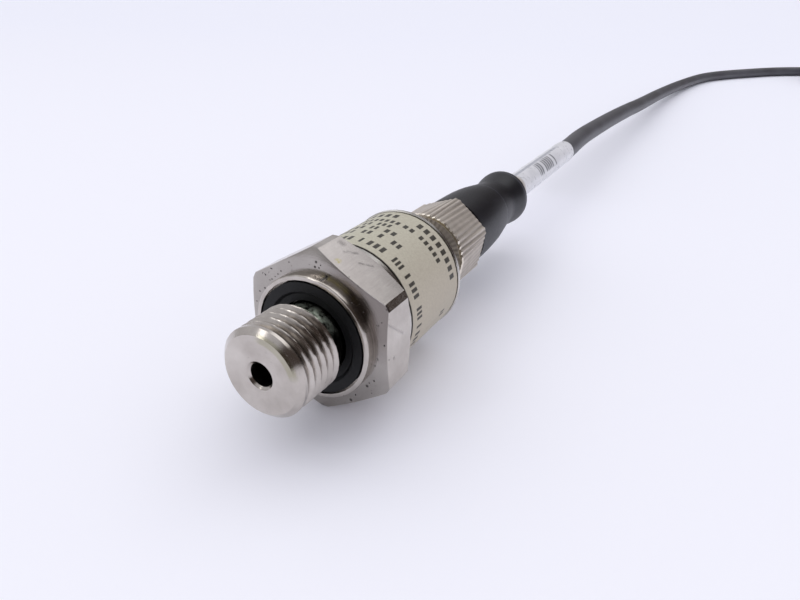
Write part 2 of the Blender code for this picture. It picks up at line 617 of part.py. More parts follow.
def add_coupling_nut(material, parent):
    """Nut of nearly round section in front that grows into a rounded hexagon at the back.

    Its ribs stand out at the corners and fade on the flats. The chamfer at the back is plain, so
    the ribs end in front of it.
    """
    front = (NUT_FRONT_ACROSS_FLATS / 2, NUT_FRONT_CORNER_DIAMETER / 2)
    rear = (NUT_ACROSS_FLATS / 2, NUT_CORNER_DIAMETER / 2)

    def plain_radius(angle, end):
        return hexagon_radius(angle - NUT_ROLL, *end)

    def ribbed_radius(angle, end):
        toward_corner = (plain_radius(angle, rear) - rear[0]) / (rear[1] - rear[0])
        depth = NUT_FLAT_RIB_DEPTH + (NUT_RIB_DEPTH - NUT_FLAT_RIB_DEPTH) * toward_corner
        in_groove = 0.5 - 0.5 * math.cos(angle * NUT_RIBS)
        return plain_radius(angle, end) - depth * in_groove

    def ribbed(station, inset, end):
        return lambda angle: (station, ribbed_radius(angle, end) - inset)

    angles = [math.pi * index / NUT_RIBS for index in range(2 * NUT_RIBS)]
    front_edge = NUT_CHAMFER / 2
    sections = [ribbed(NUT_FRONT, front_edge, front), ribbed(NUT_FRONT + front_edge, 0.0, front)]
    sections += [ribbed(NUT_REAR - NUT_CHAMFER, 0.0, rear)]
    sections += [lambda angle: (NUT_REAR, plain_radius(angle, rear) - NUT_CHAMFER)]
    relief_front = SOCKET_FLANGE_FRONT - 2 * SEAT_GAP
    inside = [(NUT_REAR, NUT_SHOULDER_RADIUS), (NUT_SHOULDER_FRONT, NUT_SHOULDER_RADIUS)]
    inside += [(NUT_SHOULDER_FRONT, NUT_RELIEF_RADIUS), (relief_front, NUT_RELIEF_RADIUS)]
    inside += [(relief_front, NUT_BORE_RADIUS), (NUT_FRONT, NUT_BORE_RADIUS)]
    sections += [circle(*point) for point in inside]
    return add_lofted("coupling_nut", sections, angles, material, parent)


def grip_profile(blend, start, end):
    """Radius between two diameters, eased at both ends."""
    eased = blend * blend * (3 - 2 * blend)
    return (start + (end - start) * eased) / 2


def add_grip(material, parent):
    """Moulded grip: domed shoulder, fine step, waist and a flared end with a rim."""
    steps = 4
    outline = [(SOCKET_REAR + SEAT_GAP, 0.0), (SOCKET_REAR + SEAT_GAP, GRIP_CAVITY_RADIUS)]
    neck_front = SOCKET_FLANGE_REAR + SEAT_GAP
    outline += [(neck_front, GRIP_CAVITY_RADIUS), (neck_front, GRIP_NECK_RADIUS)]
    outline += [(GRIP_FRONT, GRIP_NECK_RADIUS)]
    for step in range(steps + 1):
        share = step / steps
        drop = share**3 * (GRIP_DOME_DIAMETER - GRIP_SHOULDER_DIAMETER)
        outline.append((GRIP_FRONT + share * GRIP_DOME_LENGTH, (GRIP_DOME_DIAMETER - drop) / 2))
    step_diameter = GRIP_SHOULDER_DIAMETER - 2 * GRIP_STEP
    for step in range(steps + 1):
        share = step / steps
        station = GRIP_SHOULDER + GRIP_STEP + share * (GRIP_WAIST_LENGTH - GRIP_STEP)
        outline.append((station, grip_profile(share, step_diameter, GRIP_WAIST_DIAMETER)))
    for step in range(1, steps + 1):
        share = step / steps
        station = GRIP_WAIST + share * GRIP_FLARE_LENGTH
        outline.append((station, grip_profile(share, GRIP_WAIST_DIAMETER, GRIP_RIM_DIAMETER)))
    rim = GRIP_RIM_DIAMETER / 2
    rim_end = GRIP_RIM + GRIP_RIM_LENGTH
    outline += arc(rim_end, rim - GRIP_RIM_ROUND, GRIP_RIM_ROUND, 90, 0)
    outline += [(GRIP_REAR, 0.0)]
    return add_turned("grip_body", outline, material, parent, sides=36)


def smooth_route(points, spacing):
    """Read points at about this spacing from a smooth curve through the route's points."""
    knots = [Vector(point) for point in points]
    ends = [knots[0] * 2 - knots[1], *knots, knots[-1] * 2 - knots[-2]]
    route = []
    for before, start, end, after in zip(ends, ends[1:], ends[2:], ends[3:]):
        start_handle = start + (end - before) / 6
        end_handle = end - (after - start) / 6
        count = max(1, round((end - start).length / spacing))
        route.extend(interpolate_bezier(start, start_handle, end_handle, end, count + 1)[:-1])
    route.append(knots[-1])
    return route


def add_tube(name, points, diameter, material, parent, origin):
    """Add a round tube along points given in the world's frame."""
    curve = bpy.data.curves.new(name, "CURVE")
    curve.dimensions = "3D"
    curve.bevel_depth = diameter / 2
    curve.bevel_resolution = 2
    curve.render_resolution_u = 0
    curve.use_fill_caps = True
    spline = curve.splines.new("POLY")
    spline.points.add(len(points) - 1)
    for target, point in zip(spline.points, points):
        target.co = (*(Vector(point) - origin), 1.0)
    return add_object(name, curve, material, parent)


def cable_route():
    """The cable's own points: straight out of the grip, a long curve, then down to the coil."""
    axis_z = AXIS_HEIGHT
    straight_end = CABLE_LABEL_FRONT + CABLE_LABEL_LENGTH
    return [
        (0.0, FRONT_Y + CABLE_START, axis_z),
        (0.0, FRONT_Y + CABLE_LABEL_FRONT, axis_z),
        (0.0, FRONT_Y + (CABLE_LABEL_FRONT + straight_end) / 2, axis_z),
        (0.0, FRONT_Y + straight_end, axis_z),
        (-0.0008, 0.112, 0.0126),
        (-0.0012, 0.128, 0.0121),
        (-0.0009, 0.160, 0.0111),
        (-0.0003, 0.190, 0.0099),
        (0.0003, 0.217, 0.0085),
        (0.0008, 0.274, 0.0057),
        (0.0040, 0.330, 0.0036),
        (0.0106, 0.3745, 0.0028),
        (0.0206, 0.398, 0.0027),
        (0.0375, 0.422, 0.0027),
        (0.0525, 0.439, 0.0027),
        (0.0678, 0.4495, 0.0027),
    ]


def coil_point(angle, radius, height):
    """A point about the coil's upright axis; angle 0 is along +X."""
    x, y = COIL_CENTRE
    return Vector((x + radius * math.cos(angle), y + FRONT_Y + radius * math.sin(angle), height))


def add_cable(grey, film, core_materials, parent):
    """Cable tube, wrap-around label, coil solid, and the free end with four cores on the coil."""
    origin = Vector((0.0, FRONT_Y, AXIS_HEIGHT))
    beside = COIL_OUTER_RADIUS + SEAT_GAP + CABLE_RADIUS
    entry = coil_point(COIL_ENTRY_ANGLE, beside, CABLE_RADIUS)
    points = smooth_route([*cable_route(), entry], CABLE_POINT_SPACING * CABLE_DIAMETER)
    add_tube("cable", points, CABLE_DIAMETER, grey, parent, origin)
    label_rear = CABLE_LABEL_FRONT + CABLE_LABEL_LENGTH
    label_outer = CABLE_LABEL_INNER_RADIUS + CABLE_LABEL_THICKNESS
    label = ring_outline(CABLE_LABEL_FRONT, label_rear, CABLE_LABEL_INNER_RADIUS, label_outer)
    add_turned("cable_label", label, film, parent, sides=20)

    top = COIL_HALF_HEIGHT - CABLE_RADIUS
    outermost = COIL_OUTER_RADIUS - CABLE_RADIUS
    innermost = COIL_MIDDLE_RADIUS - COIL_HALF_WIDTH + CABLE_RADIUS
    outline = arc(top, outermost, CABLE_RADIUS, 0, 90, 1)
    outline += arc(-top, outermost, CABLE_RADIUS, 90, 180, 1)
    outline += arc(-top, innermost, CABLE_RADIUS, 180, 270, 1)
    outline += arc(top, innermost, CABLE_RADIUS, 270, 360, 1)
    coil = add_turned("cable_coil", outline, grey, parent, sides=36)
    coil.rotation_euler = (math.pi / 2, 0.0, 0.0)
    coil.location = coil_point(0.0, 0.0, COIL_HALF_HEIGHT) - origin

    coil_top = 2 * COIL_HALF_HEIGHT + SEAT_GAP
    tail = []
    for angle, inset in zip(TAIL_ANGLES, TAIL_INSETS):
        radius = outermost - inset * CABLE_DIAMETER
        tail.append(coil_point(math.radians(angle), radius, coil_top + CABLE_RADIUS))
    spacing = CABLE_POINT_SPACING * CABLE_DIAMETER
    add_tube("cable_tail", smooth_route(tail, spacing), CABLE_DIAMETER, grey, parent, origin)
    along = (tail[-1] - tail[-2]).normalized()
    across = Vector((-along.y, along.x, 0.0))
    for number, (name, material) in enumerate(core_materials.items()):
        share = number - (len(core_materials) - 1) / 2
        root = tail[-1] + along * SEAT_GAP + across * (share * CORE_PITCH)
        tip = root + along * CORE_LENGTH + across * (share * CORE_SPREAD)
        tip.z = coil_top + CORE_DIAMETER
        middle = (root + tip) / 2 - across * (share * CORE_SPREAD / 4)
        points = smooth_route([root, middle, tip], CABLE_DIAMETER)
        add_tube(f"core_{name}", points, CORE_DIAMETER, material, parent, origin)


def build():
    """Make every piece under the empty of the body that it moves with."""
    clear_scene()
    steel = make_material("stainless_steel", (0.56, 0.54, 0.53), 0.32, 1.0)
    nickel = make_material("nickel_plate", (0.52, 0.47, 0.42), 0.38, 1.0)
    gold = make_material("gold_plate", (0.83, 0.61, 0.28), 0.28, 1.0)
    rubber = make_material("black_rubber", (0.012, 0.012, 0.014), 0.55)
    ceramic = make_material("white_ceramic", (0.80, 0.79, 0.75), 0.45)
    film = make_material("label_film", (0.44, 0.42, 0.33), 0.6)
    plastic = make_material("black_plastic", (0.02, 0.02, 0.022), 0.5)
    board = make_material("circuit_board", (0.03, 0.16, 0.07), 0.45)
    dark = make_material("component_body", (0.015, 0.015, 0.017), 0.5)
    grip = make_material("grip_moulding", (0.022, 0.024, 0.030), 0.6)
    grey = make_material("cable_jacket", (0.085, 0.085, 0.095), 0.5)
    wrap = make_material("cable_label_film", (0.80, 0.79, 0.76), 0.35)
    core_materials = {
        "brown": make_material("core_brown", (0.16, 0.06, 0.03), 0.4),
        "white": make_material("core_white", (0.75, 0.75, 0.72), 0.4),
        "blue": make_material("core_blue", (0.03, 0.10, 0.40), 0.4),
        "black": make_material("core_black", (0.02, 0.02, 0.02), 0.4),
    }
    sensor = make_axis_empty("sensor_axis")
    cordset = make_axis_empty("cordset_axis", sensor)
    nut = make_axis_empty("nut_axis", cordset)

    add_pressure_port(steel, sensor)
    add_port_seal(rubber, sensor)
    add_measuring_cell(steel, rubber, ceramic, gold, sensor)
    add_housing(steel, film, sensor)
    add_electronics(plastic, board, dark, sensor)
    add_plug(nickel, rubber, plastic, gold, sensor)
    add_socket(plastic, rubber, gold, cordset)
    add_grip(grip, cordset)
    add_cable(grey, wrap, core_materials, cordset)
    add_coupling_nut(nickel, nut)


build()
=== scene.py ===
import math

import bmesh
import bpy
import numpy as np
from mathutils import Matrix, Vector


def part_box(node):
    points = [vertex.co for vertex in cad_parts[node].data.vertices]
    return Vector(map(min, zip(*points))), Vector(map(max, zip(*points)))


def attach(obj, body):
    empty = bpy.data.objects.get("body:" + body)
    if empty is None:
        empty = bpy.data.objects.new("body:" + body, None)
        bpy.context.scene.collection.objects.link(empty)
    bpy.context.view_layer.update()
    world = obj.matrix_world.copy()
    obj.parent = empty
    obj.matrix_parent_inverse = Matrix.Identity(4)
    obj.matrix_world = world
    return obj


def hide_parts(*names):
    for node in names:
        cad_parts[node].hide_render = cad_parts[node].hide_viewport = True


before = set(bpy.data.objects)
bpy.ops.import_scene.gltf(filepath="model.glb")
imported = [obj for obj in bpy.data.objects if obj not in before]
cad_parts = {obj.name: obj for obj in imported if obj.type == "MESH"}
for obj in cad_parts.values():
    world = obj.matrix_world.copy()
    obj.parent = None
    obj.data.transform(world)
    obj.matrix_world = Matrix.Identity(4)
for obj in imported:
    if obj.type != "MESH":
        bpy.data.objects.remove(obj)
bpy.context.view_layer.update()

# Camera, in front of the thread and beside its axis, looking down along the cable. The numbers
# put the picture of 800 by 600 where the photograph has it.
CAMERA_PLACE = (0.04729, -0.0913, 0.05666)
CAMERA_PITCH = math.radians(26.79)
CAMERA_HEADING = math.radians(29.09)
camera_lens = bpy.data.cameras.new("camera")
camera_lens.sensor_width = 36.0
camera_lens.lens = 28.03
camera_lens.clip_start = 0.002
camera = bpy.data.objects.new("camera", camera_lens)
camera.location = CAMERA_PLACE
camera.rotation_euler = (math.pi / 2 - CAMERA_PITCH, 0.0, CAMERA_HEADING)
bpy.context.scene.collection.objects.link(camera)
bpy.context.scene.camera = camera
bpy.context.scene.view_settings.view_transform = "Standard"

# The axis that every turned piece shares: along +Y, at half the hexagon's height. Stations are
# measured along it from the thread's front end.
FRONT_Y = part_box("pressure_port")[0][1]
AXIS_Z = (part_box("pressure_port")[0][2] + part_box("pressure_port")[1][2]) / 2
MM = 0.001


# Cable: one round jacket of 5.6 mm, 2 m long. It leaves the grip, carries a wrap-around label,
# comes down to the surface in a long curve and is wound up outside the picture. The plain solids
# are 5.2 mm thick, and the coil and the free end keep the places that go with that.
CABLE_DIAMETER = 5.6 * MM
SOLID_DIAMETER = 5.2 * MM
GRIP_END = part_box("grip_body")[1][1]
CABLE_ROUTE = [
    (0.0, GRIP_END - 0.0002, AXIS_Z),
    (0.0, GRIP_END + 0.0065, AXIS_Z),
    (0.0, GRIP_END + 0.0305, AXIS_Z),
    (0.0, GRIP_END + 0.0545, AXIS_Z),
    (-0.0008, 0.112, 0.0126),
    (-0.0012, 0.128, 0.0121),
    (-0.0009, 0.160, 0.0111),
    (-0.0003, 0.190, 0.0099),
    (0.0003, 0.217, 0.0085),
    (0.0008, 0.274, 0.0057),
    (0.0040, 0.330, 0.0037),
    (0.0106, 0.3745, 0.0029),
    (0.0206, 0.398, 0.0029),
    (0.0375, 0.422, 0.0029),
    (0.0525, 0.439, 0.0029),
    (0.0678, 0.4495, 0.0029),
]
COIL_CENTRE = (0.1124, 0.424)
COIL_ENTRY_DEGREES = 106
COIL_ENTRY = math.radians(COIL_ENTRY_DEGREES)
TAIL_START_DEGREES = 78
COIL_MIDDLE_RADIUS = 5.5 * SOLID_DIAMETER
COIL_COLUMNS = (3, 2, 1, 0, 0, 1, 2, 3)
COIL_LAYERS = (0, 0, 0, 0, 1, 1, 1, 1)
COIL_SECTOR = 0.25
BESIDE_COIL = COIL_MIDDLE_RADIUS + 2.5 * CABLE_DIAMETER + 0.3 * MM
TAIL_HEIGHT = 2.5 * CABLE_DIAMETER
TAIL_ANGLES = (50, 20, -10, -35, -47)
TAIL_INSETS = (0.0, 0.1, 0.6, 1.3, 1.8)
LINE_SPACING = 3 * MM
CABLE_SIDES = 24
SHARP_EDGE = math.radians(35)


def smooth_line(knots, spacing):
    """A cubic through the knots, each of its handles a sixth of the neighbours' distance."""
    knots = np.array(knots, float)
    before = np.vstack([2 * knots[0] - knots[1], knots[:-2]])
    after = np.vstack([knots[2:], 2 * knots[-1] - knots[-2]])
    start, end = knots[:-1], knots[1:]
    first, second = start + (end - before) / 6, end - (after - start) / 6
    pieces = []
    for a, b, c, d in zip(start, first, second, end):
        count = max(2, int(np.linalg.norm(d - a) / spacing))
        t = np.linspace(0, 1, count, endpoint=False)[:, None]
        s = 1 - t
        pieces.append(a * s**3 + 3 * b * t * s**2 + 3 * c * t**2 * s + d * t**3)
    return np.vstack([*pieces, knots[-1:]])


def eased(value, start, end):
    """0 before start, 1 after end, and 3 t^2 - 2 t^3 between them."""
    t = np.clip((value - start) / (end - start), 0, 1)
    return t * t * (3 - 2 * t)


def coil_line(spacing_turns):
    """Clockwise turns: the radius shifts by a diameter early in each turn's first quarter and the
    height later in it, so turns lie beside and on each other; the end climbs on top of them."""
    last = len(COIL_COLUMNS)
    turns = np.arange(0, last, spacing_turns)
    number = turns.astype(int)
    column = COIL_MIDDLE_RADIUS + (np.array(COIL_COLUMNS) - 1.5) * CABLE_DIAMETER
    layer = (np.array(COIL_LAYERS) + 0.5) * CABLE_DIAMETER
    column_before, layer_before = np.roll(column, 1), np.roll(layer, 1)
    column_before[0], layer_before[0] = BESIDE_COIL, layer[0]
    share = turns - number
    across = eased(share, 0.0, 0.6 * COIL_SECTOR)
    up = eased(share, 0.3 * COIL_SECTOR, COIL_SECTOR)
    radius = column_before[number] + (column - column_before)[number] * across
    height = layer_before[number] + (layer - layer_before)[number] * up
    height += (TAIL_HEIGHT - layer[-1]) * eased(turns, last - COIL_SECTOR, last - 0.02)
    angle = COIL_ENTRY - math.tau * turns
    x = COIL_CENTRE[0] + radius * np.cos(angle)
    y = COIL_CENTRE[1] + radius * np.sin(angle)
    return np.stack([x, y, height], axis=1)


def grid_mesh(name, grid, closed_rows=False):
    """A mesh over grid[row, column]; columns always close up, rows on request, poles are merged."""
    rows, columns = grid.shape[:2]
    index = np.arange(rows * columns).reshape(rows, columns)
    ahead = np.roll(index, -1, axis=0) if closed_rows else index[1:]
    here = index if closed_rows else index[:-1]
    faces = np.stack([here, np.roll(here, -1, 1), np.roll(ahead, -1, 1), ahead], axis=-1)
    mesh = bpy.data.meshes.new(name)
    mesh.from_pydata(grid.reshape(-1, 3), [], faces.reshape(-1, 4))
    shape = bmesh.new()
    shape.from_mesh(mesh)
    bmesh.ops.remove_doubles(shape, verts=shape.verts, dist=1e-7)
    shape.to_mesh(mesh)
    shape.free()
    mesh.shade_smooth()
    mesh.set_sharp_from_angle(angle=SHARP_EDGE)
    return mesh


def place(name, mesh, body, slot, material, *nodes):
    """Put a mesh in the scene on a body, with its finish, in place of the nodes named."""
    mesh.materials.append(material)
    piece = bpy.data.objects.new(name, mesh)
    bpy.context.scene.collection.objects.link(piece)
    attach(piece, body)
    if nodes:
        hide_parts(*nodes)
    return piece


def tube_grid(line, radius, sides):
    """Rings square to the line: p + radius (side cos a - up sin a) at each of its points p."""
    ahead = np.gradient(line, axis=0)
    ahead /= np.linalg.norm(ahead, axis=1)[:, None]
    side = np.cross(ahead, (0.0, 0.0, 1.0))
    side /= np.linalg.norm(side, axis=1)[:, None]
    up = np.cross(side, ahead)
    angle = np.linspace(0, math.tau, sides, endpoint=False)[None, :, None]
    ring = np.cos(angle) * side[:, None] - np.sin(angle) * up[:, None]
    return line[:, None] + ring * radius


class Wire:
    """A socket of a material's nodes. Operators on it add Math nodes and node() adds any other."""

    def __init__(self, tree, socket):
        self.tree = tree
        self.socket = socket

    def node(self, kind, settings=None, inputs=None, output=0):
        """Add a node, set its settings, feed its sockets and return one output."""
        made = self.tree.nodes.new(kind)
        for name, value in (settings or {}).items():
            setattr(made, name, value)
        for socket, value in (inputs or {}).items():
            if isinstance(value, Wire):
                self.tree.links.new(value.socket, made.inputs[socket])
            else:
                made.inputs[socket].default_value = value
        return Wire(self.tree, made.outputs[output])

    def maths(self, operation, *others):
        """One Math node on this socket and the others."""
        inputs = dict(enumerate((self, *others)))
        return self.node("ShaderNodeMath", {"operation": operation}, inputs)

    def __add__(self, other):
        return self.maths("ADD", other)

    def __sub__(self, other):
        return self.maths("SUBTRACT", other)

    def __mul__(self, other):
        return self.maths("MULTIPLY", other)

    def __truediv__(self, other):
        return self.maths("DIVIDE", other)

    def __rsub__(self, other):
        return self.maths("MULTIPLY", -1.0).maths("ADD", other)

    def __rtruediv__(self, other):
        return self.maths("POWER", -1.0).maths("MULTIPLY", other)

    __radd__ = __add__
    __rmul__ = __mul__

    def step(self, start, end):
        """0 at start, 1 at end, straight between them and clamped."""
        inputs = {0: self, 1: start, 2: end}
        return self.node("ShaderNodeMapRange", {"clamp": True}, inputs)

    def vector(self, other, third=0.0):
        """A vector of this and two more numbers."""
        return self.node("ShaderNodeCombineXYZ", None, {0: self, 1: other, 2: third})

    def split(self):
        """The three numbers of this vector."""
        outputs = self.node("ShaderNodeSeparateXYZ", None, {0: self}).socket.node.outputs
        return [Wire(self.tree, output) for output in outputs]

    def noise(self, scale, detail=2.0, roughness=0.5):
        """Noise on this vector, about 0.5."""
        inputs = {"Vector": self, "Scale": scale, "Detail": detail, "Roughness": roughness}
        return self.node("ShaderNodeTexNoise", None, inputs)

    def mix(self, low, high):
        """A colour between low and high by this factor."""
        return self.node("ShaderNodeMix", {"data_type": "RGBA"}, {0: self, 6: low, 7: high}, 2)

    def between(self, start, end, edge):
        """1 from start to end, falling to 0 over the edge's width outside them."""
        return self.step(start - edge, start) * self.step(end + edge, end)

    def spot(self, other, centre, radii):
        """A soft spot about a centre in the plane of this and the other, 1 in the middle."""
        u = (self - centre[0]) / radii[0]
        v = (other - centre[1]) / radii[1]
        return (u * u + v * v).maths("SQRT").step(1.0, 0.35)

    def stroke(self, other, start, end, width):
        """A soft line from start to end in the plane of this and the other."""
        way = (end[0] - start[0], end[1] - start[1])
        length = math.hypot(*way)
        u, v = self - start[0], other - start[1]
        along = u * (way[0] / length) + v * (way[1] / length)
        across = (u * (way[1] / length) - v * (way[0] / length)).maths("ABSOLUTE")
        return across.step(width, 0.0) * along.between(0.0, length, width)


def new_finish(name, roughness, metallic=0.0, **levels):
    """A Principled material with its plain levels set: the shader, its place and its own feeder."""
    material = bpy.data.materials.new(name)
    material.use_nodes = True
    shader = material.node_tree.nodes["Principled BSDF"]
    shader.inputs["Roughness"].default_value = roughness
    shader.inputs["Metallic"].default_value = metallic
    for socket, value in levels.items():
        shader.inputs[socket.replace("_", " ")].default_value = value
    tree = material.node_tree
    object_place = tree.nodes.new("ShaderNodeTexCoord").outputs["Object"]
    return material, shader, Wire(tree, object_place)


def feed(shader, **wires):
    """Link wires to the shader's sockets, named with _ for a space."""
    for name, wire in wires.items():
        wire.tree.links.new(wire.socket, shader.inputs[name.replace("_", " ")])


def bumped(height, strength, distance):
    """A normal that stands up with the height."""
    inputs = {"Height": height, "Strength": strength, "Distance": distance}
    return height.node("ShaderNodeBump", None, inputs)


def rgb(red, green, blue):
    """A colour written as the eight-bit levels seen under plain light, made linear."""
    levels = np.array([red, green, blue]) / 255
    linear = np.where(levels > 0.04045, ((levels + 0.055) / 1.055) ** 2.4, levels / 12.92)
    return (*linear.tolist(), 1.0)


def jacket_finish(name, colour, worn):
    """Drawn plastic jacket: slight tone changes, a fine grain, and soft gloss."""
    material, shader, where = new_finish(name, 0.46, Specular_IOR_Level=0.45)
    cloud = where.noise(90.0, 3.0).step(0.35, 0.7)
    grain = where.noise(5200.0, 2.0)
    feed(
        shader,
        Base_Color=cloud.mix(colour, worn),
        Roughness=grain * 0.16 + 0.38,
        Normal=bumped(grain, 0.12, 0.00006),
    )
    return material


def about_coil(degrees, radius, height):
    """A point about the coil's upright axis."""
    angle = math.radians(degrees)
    x, y = COIL_CENTRE
    return (x + radius * math.cos(angle), y + radius * math.sin(angle), height)


cable_finish = jacket_finish("cable_jacket_finish", rgb(80, 79, 83), rgb(93, 93, 98))
OUTERMOST = COIL_MIDDLE_RADIUS + 1.5 * SOLID_DIAMETER
entry_point = about_coil(COIL_ENTRY_DEGREES, BESIDE_COIL, CABLE_DIAMETER / 2)
route_line = smooth_line([*CABLE_ROUTE, entry_point], LINE_SPACING)[:-1]
turns_line = coil_line(1 / 60)
tail_knots = [
    about_coil(COIL_ENTRY_DEGREES, OUTERMOST, TAIL_HEIGHT),
    about_coil(TAIL_START_DEGREES, OUTERMOST, TAIL_HEIGHT),
]
for degrees, inset in zip(TAIL_ANGLES, TAIL_INSETS):
    tail_knots.append(about_coil(degrees, OUTERMOST - inset * SOLID_DIAMETER, TAIL_HEIGHT))
tail_line = smooth_line(tail_knots, LINE_SPACING)
cable_line = np.vstack([route_line, turns_line, tail_line])
cable_grid = tube_grid(cable_line, CABLE_DIAMETER / 2, CABLE_SIDES)
caps = [np.repeat(cable_line[end][None, None], CABLE_SIDES, axis=1) for end in (0, -1)]
cable_grid = np.concatenate([caps[0], cable_grid, caps[1]])
cable = place(
    "cable_jacket",
    grid_mesh("cable_jacket", cable_grid),
    "cordset",
    "cable_jacket",
    cable_finish,
    "cable",
    "cable_coil",
    "cable_tail",
)


# Cable label: a glossy white film, wound once round the cable behind the grip with its edge
# lapped over and stuck down. Its print is one short row of blurred bars.
LABEL_START = GRIP_END + 0.0065
LABEL_END = GRIP_END + 0.0500
LABEL_RADIUS = 3.12 * MM
LAP_HEIGHT = 0.09 * MM
LABEL_WAVES = 0.04 * MM
BAR_PITCH = 1.35 * MM
BAR_ANGLES = (0.30, 1.30)
LAP_SHADE_ANGLES = (-0.14, 0.08)
PRINT_START = LABEL_START + 13.0 * MM
PRINT_END = LABEL_START + 26.6 * MM


def cable_label_grid():
    """A sleeve of constant radius with its ends turned in; the lap's edge stands up a little."""
    rows, columns = 60, 64
    along = np.linspace(LABEL_START, LABEL_END, rows)
    angle = np.linspace(0, math.tau, columns, endpoint=False)
    lap = eased(angle, math.radians(60), math.radians(95)) * (angle < math.radians(96))
    waves = np.sin(along * 900)[:, None] * np.sin(3 * angle)
    radius = LABEL_RADIUS + LAP_HEIGHT * lap[None, :] + LABEL_WAVES * waves
    y = np.repeat(along[:, None], columns, 1)
    inner = np.full((1, columns), CABLE_DIAMETER / 2 + 0.02 * MM)
    radius = np.vstack([inner, radius, inner])
    y = np.vstack([y[:1], y, y[-1:]])
    return np.stack([radius * np.sin(angle), y, AXIS_Z + radius * np.cos(angle)], axis=-1)


def cable_label_finish():
    """White film with a painted grey line of shade along the top for the lap, blurred bars in one
    row and a browned front edge.
    """
    material, shader, where = new_finish("cable_label_finish", 0.28, Specular_IOR_Level=0.5)
    x, along, z = where.split()
    angle = x.maths("ARCTAN2", z - AXIS_Z)
    cell = (along - LABEL_START) / BAR_PITCH
    pick = cell.maths("FLOOR")
    pick = pick.node("ShaderNodeTexWhiteNoise", {"noise_dimensions": "1D"}, {"W": pick})
    bars = cell.maths("FRACT").between(0.25, 0.65, 0.18) * angle.between(*BAR_ANGLES, 0.16)
    bars = bars * pick.step(0.15, 0.2) * where.noise(900.0, 3.0).step(0.2, 0.45)
    bars = bars * along.between(PRINT_START, PRINT_END, 0.5 * MM)
    shade = where.noise(260.0, 3.0).step(0.3, 0.75)
    colour = shade.mix(rgb(214, 214, 217), rgb(234, 233, 236))
    # Painted shade: a grey-blue line along the top of the film for the shadow of the lapped edge,
    # fading out before its far end.
    lap = angle.between(*LAP_SHADE_ANGLES, 0.06)
    lap = lap * along.step(LABEL_END - 6.0 * MM, LABEL_END - 10.0 * MM)
    colour = (lap * 0.55).mix(colour, rgb(128, 134, 148))
    colour = (bars * 0.9).mix(colour, rgb(70, 72, 80))
    curl = along.step(LABEL_START + 1.6 * MM, LABEL_START + 0.4 * MM)
    colour = (curl * 0.6).mix(colour, rgb(150, 134, 112))
    feed(shader, Base_Color=colour, Roughness=where.noise(900.0) * 0.2 + 0.2)
    return material


cable_label = place(
    "cable_marker",
    grid_mesh("cable_marker", cable_label_grid()),
    "cordset",
    "cable_label_film",
    cable_label_finish(),
    "cable_label",
)


# Cores: four copper wires in coloured plastic that stand out of the jacket's cut end, where the
# jacket has been stripped back. They lie fanned out on the coil.
CORE_COLOURS = {
    "core_brown": rgb(104, 66, 44),
    "core_white": rgb(225, 225, 220),
    "core_blue": rgb(40, 82, 168),
    "core_black": rgb(34, 34, 36),
}


def smoothing(edge_angle):
    """Node group that shades smooth and keeps only edges sharper than the angle."""
    group = bpy.data.node_groups.new(f"smoothing_{edge_angle}", "GeometryNodeTree")
    group.interface.new_socket("Geometry", in_out="INPUT", socket_type="NodeSocketGeometry")
    group.interface.new_socket("Geometry", in_out="OUTPUT", socket_type="NodeSocketGeometry")
    nodes, links = group.nodes, group.links
    start, end = nodes.new("NodeGroupInput"), nodes.new("NodeGroupOutput")
    weld = nodes.new("GeometryNodeMergeByDistance")
    weld.inputs["Distance"].default_value = 0.002 * MM
    faces = nodes.new("GeometryNodeSetShadeSmooth")
    edges = nodes.new("GeometryNodeSetShadeSmooth")
    faces.domain, edges.domain = "FACE", "EDGE"
    faces.inputs["Shade Smooth"].default_value = True
    turn = nodes.new("GeometryNodeInputMeshEdgeAngle")
    flat_enough = nodes.new("FunctionNodeCompare")
    flat_enough.data_type, flat_enough.operation = "FLOAT", "LESS_THAN"
    flat_enough.inputs[1].default_value = math.radians(edge_angle)
    links.new(start.outputs[0], weld.inputs["Geometry"])
    links.new(weld.outputs["Geometry"], faces.inputs["Geometry"])
    links.new(faces.outputs["Geometry"], edges.inputs["Geometry"])
    links.new(turn.outputs["Unsigned Angle"], flat_enough.inputs[0])
    links.new(flat_enough.outputs[0], edges.inputs["Shade Smooth"])
    links.new(edges.outputs["Geometry"], end.inputs[0])
    return group


ROUND_SMOOTHING = smoothing(30)
RIBBED_SMOOTHING = smoothing(6)
MILLED_SMOOTHING = smoothing(24)


def dress(node, material, shading=None):
    """Give a CAD node its finish, shaded smooth over its facets."""
    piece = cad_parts[node]
    piece.data.materials.clear()
    piece.data.materials.append(material)
    modifier = piece.modifiers.new("smoothing", "NODES")
    modifier.node_group = shading or ROUND_SMOOTHING


for node, colour in CORE_COLOURS.items():
    faded = tuple(0.85 * level for level in colour[:3]) + (1.0,)
    dress(node, jacket_finish(node + "_finish", colour, faded))


# Floor and light: a pale matte table under a broad soft ceiling, as in a light tent, with a dark
# wall on one side that only mirrors in the metal. Neither is part of the object.
FLOOR_SIZE = 24.0
FLOOR_NEAR, FLOOR_FAR = rgb(244, 244, 250), rgb(242, 243, 251)
TENT_COLOUR = rgb(224, 224, 231)
TENT_MIRRORED = rgb(204, 204, 209)
CEILING_MIRRORED = rgb(150, 147, 146)
WALL_MIRRORED = rgb(72, 63, 59)


def floor_finish():
    """Matte pale blue-white board, a little bluer away from the camera."""
    material, shader, where = new_finish("table_finish", 0.9, Specular_IOR_Level=0.1)
    depth = where.split()[1].step(-0.05, 0.6)
    feed(shader, Base_Color=depth.mix(FLOOR_NEAR, FLOOR_FAR))
    return material


